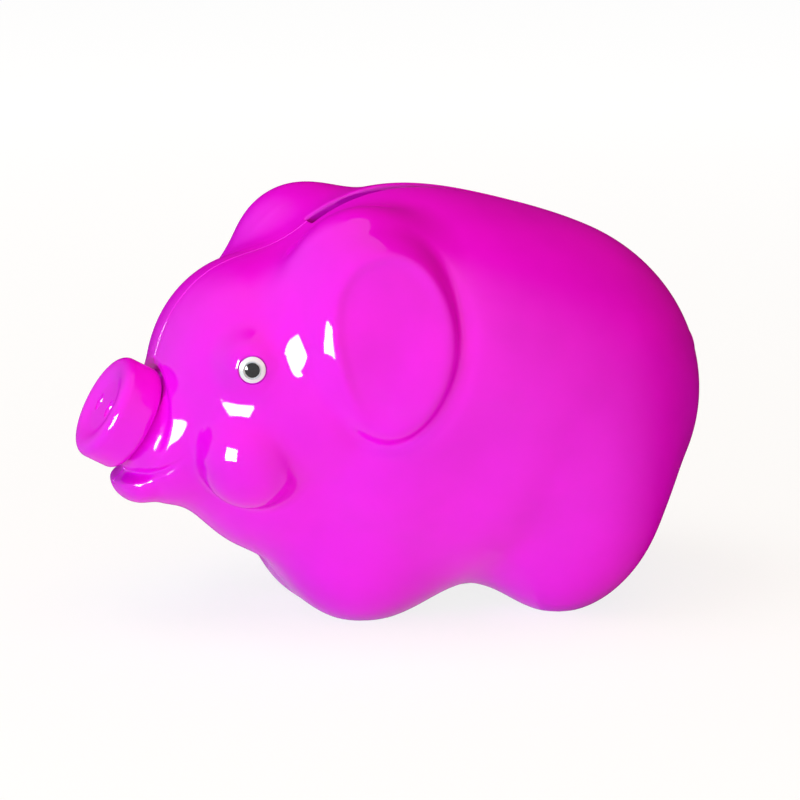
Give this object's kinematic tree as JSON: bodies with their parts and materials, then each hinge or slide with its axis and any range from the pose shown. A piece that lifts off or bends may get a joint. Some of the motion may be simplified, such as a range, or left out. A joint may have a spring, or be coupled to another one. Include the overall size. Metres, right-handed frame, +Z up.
{
  "type": "pig-shaped coin bank",
  "caption": "Glossy pig-shaped toy coin bank, a hollow moulded body with a drum snout, inset eyes, a curled tail, a coin slot on the crest and a pull-out belly stopper.",
  "frame": {"origin": "centre of the plan bounding box, on the plane that the feet stand on", "axes": "the pig looks along -X, +Y is its right side, +Z is up"},
  "size_m": [0.1253, 0.0776, 0.0808],
  "materials": {
    "body": "high gloss magenta, moulded",
    "snout": "high gloss magenta, moulded",
    "tail": "high gloss magenta, moulded",
    "eye_white": "gloss white",
    "eye_pupil": "gloss black",
    "stopper": "soft satin vinyl"
  },
  "bodies": {
    "bank": {"shell_left": "body", "shell_right": "body", "snout_cap": "snout", "tail": "tail", "eye_white_left": "eye_white", "eye_white_right": "eye_white", "eye_pupil_left": "eye_pupil", "eye_pupil_right": "eye_pupil"},
    "plug": {"belly_plug": "stopper"}
  },
  "joints": [
    {"name": "plug_pull", "type": "slide", "parent": "bank", "child": "plug", "axis": [0, 0, -1], "range_m": [0, 0.02]}
  ]
}
